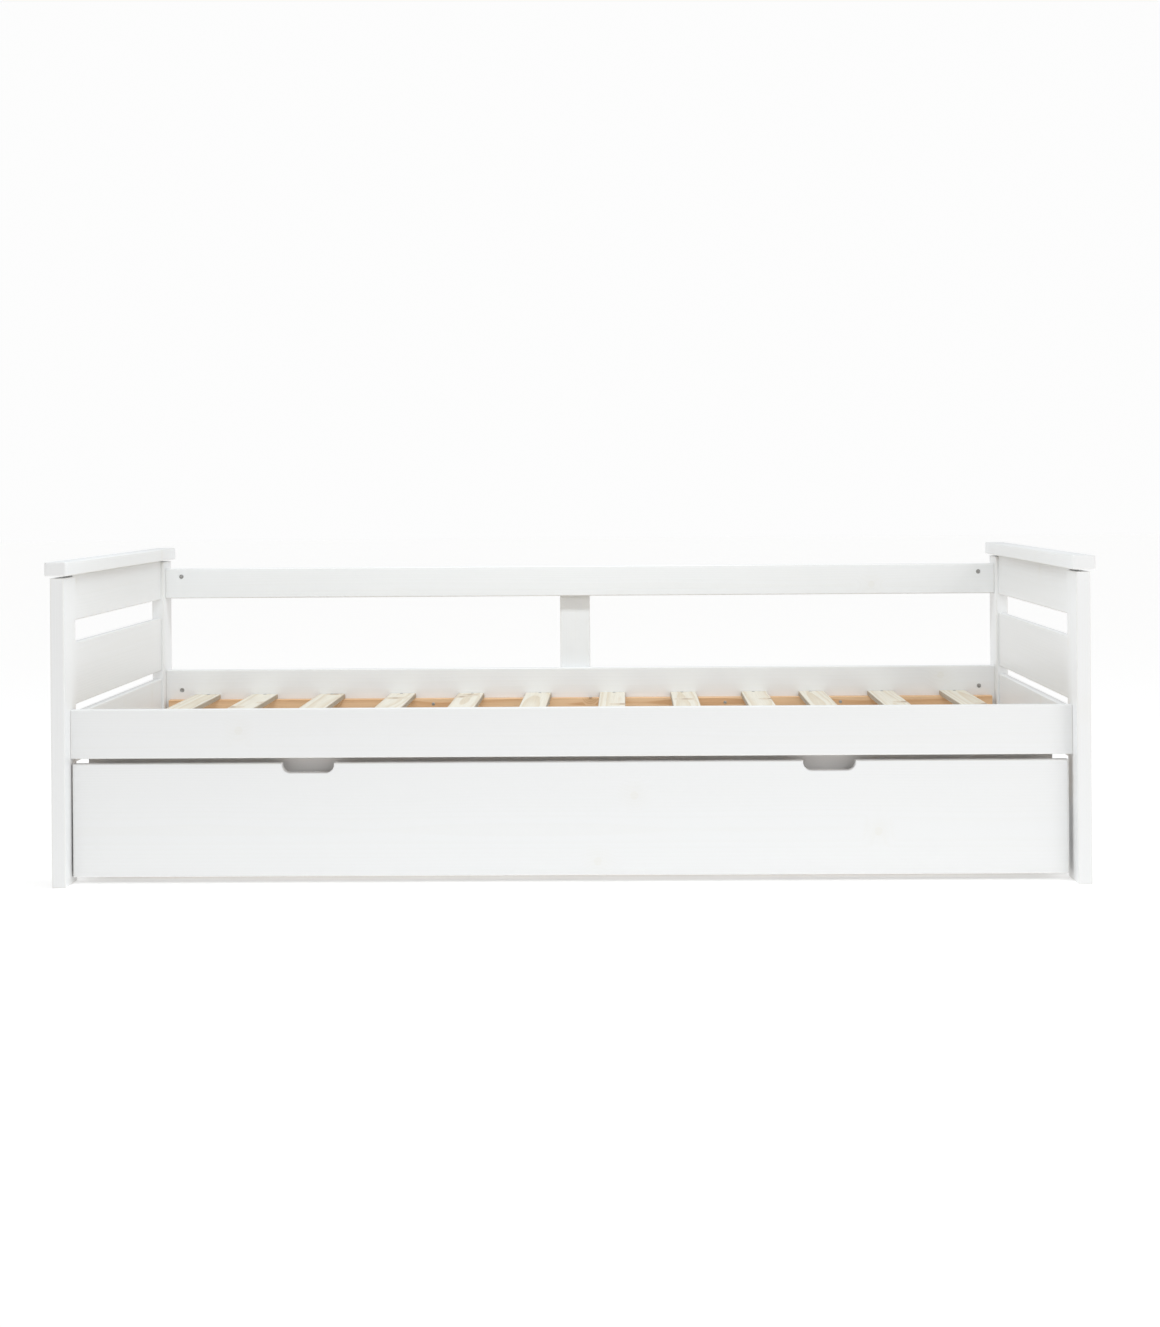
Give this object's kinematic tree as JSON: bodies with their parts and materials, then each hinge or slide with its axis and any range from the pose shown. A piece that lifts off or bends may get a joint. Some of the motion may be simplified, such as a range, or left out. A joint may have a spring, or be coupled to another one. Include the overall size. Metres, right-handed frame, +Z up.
{
  "type": "trundle bed",
  "caption": "White pine day bed with slatted ends, a low back and a slatted base, and a second wheeled bed base that slides out from under it.",
  "frame": {"origin": "on the floor, under the middle of the bed's outer box", "axes": "+X along the bed to the right seen from the front, front at -Y, +Z up"},
  "size_m": [2.012, 1.059, 0.6273],
  "materials": {
    "white_lacquer": "satin white lacquer on pine",
    "raw_pine": "planed, unfinished",
    "zinc_steel": "zinc plated",
    "wheel_plastic": "moulded, matte"
  },
  "bodies": {
    "bed_frame": {"post_front_left": "white_lacquer", "post_back_left": "white_lacquer", "end_board_top_left": "white_lacquer", "end_board_middle_left": "white_lacquer", "end_board_lower_left": "white_lacquer", "end_cap_left": "white_lacquer", "post_front_right": "white_lacquer", "post_back_right": "white_lacquer", "end_board_top_right": "white_lacquer", "end_board_middle_right": "white_lacquer", "end_board_lower_right": "white_lacquer", "end_cap_right": "white_lacquer", "front_rail": "white_lacquer", "back_rail": "white_lacquer", "back_top_rail": "white_lacquer", "back_upright": "white_lacquer", "connector_front_left": "zinc_steel", "connector_front_right": "zinc_steel", "connector_back_left": "zinc_steel", "connector_back_right": "zinc_steel", "connector_top_left": "zinc_steel", "connector_top_right": "zinc_steel", "ledger_front": "raw_pine", "ledger_back": "raw_pine", "slat_01": "raw_pine", "slat_02": "raw_pine", "slat_03": "raw_pine", "slat_04": "raw_pine", "slat_05": "raw_pine", "slat_06": "raw_pine", "slat_07": "raw_pine", "slat_08": "raw_pine", "slat_09": "raw_pine", "slat_10": "raw_pine", "slat_11": "raw_pine", "slat_12": "raw_pine"},
    "trundle": {"trundle_front": "white_lacquer", "trundle_inner_rail": "white_lacquer", "trundle_back": "white_lacquer", "trundle_side_left": "white_lacquer", "trundle_side_right": "white_lacquer", "trundle_ledger_front": "raw_pine", "trundle_ledger_back": "raw_pine", "trundle_slat_1": "raw_pine", "trundle_slat_2": "raw_pine", "trundle_slat_3": "raw_pine", "trundle_slat_4": "raw_pine", "trundle_slat_5": "raw_pine", "trundle_slat_6": "raw_pine", "trundle_slat_7": "raw_pine", "trundle_slat_8": "raw_pine", "trundle_slat_9": "raw_pine", "wheel_fork_front_left": "zinc_steel", "wheel_fork_front_right": "zinc_steel", "wheel_fork_back_left": "zinc_steel", "wheel_fork_back_right": "zinc_steel"},
    "wheel_front_left": {"wheel_front_left": "wheel_plastic"},
    "wheel_front_right": {"wheel_front_right": "wheel_plastic"},
    "wheel_back_left": {"wheel_back_left": "wheel_plastic"},
    "wheel_back_right": {"wheel_back_right": "wheel_plastic"}
  },
  "joints": [
    {"name": "trundle_slide", "type": "slide", "parent": "bed_frame", "child": "trundle", "axis": [0, -1, 0], "range_m": [0, 1.04]},
    {"name": "wheel_front_left_spin", "type": "hinge", "parent": "trundle", "child": "wheel_front_left", "pos_m": [-0.9317, -0.3285, 0.025], "axis": [1, 0, 0], "continuous": true},
    {"name": "wheel_front_right_spin", "type": "hinge", "parent": "trundle", "child": "wheel_front_right", "pos_m": [0.9257, -0.3285, 0.025], "axis": [1, 0, 0], "continuous": true},
    {"name": "wheel_back_left_spin", "type": "hinge", "parent": "trundle", "child": "wheel_back_left", "pos_m": [-0.9317, 0.4185, 0.025], "axis": [1, 0, 0], "continuous": true},
    {"name": "wheel_back_right_spin", "type": "hinge", "parent": "trundle", "child": "wheel_back_right", "pos_m": [0.9257, 0.4185, 0.025], "axis": [1, 0, 0], "continuous": true}
  ],
  "couplings": [
    {"joint": "wheel_front_left_spin", "follows": "trundle_slide", "rad_per_m": 40},
    {"joint": "wheel_front_right_spin", "follows": "trundle_slide", "rad_per_m": 40},
    {"joint": "wheel_back_left_spin", "follows": "trundle_slide", "rad_per_m": 40},
    {"joint": "wheel_back_right_spin", "follows": "trundle_slide", "rad_per_m": 40}
  ]
}
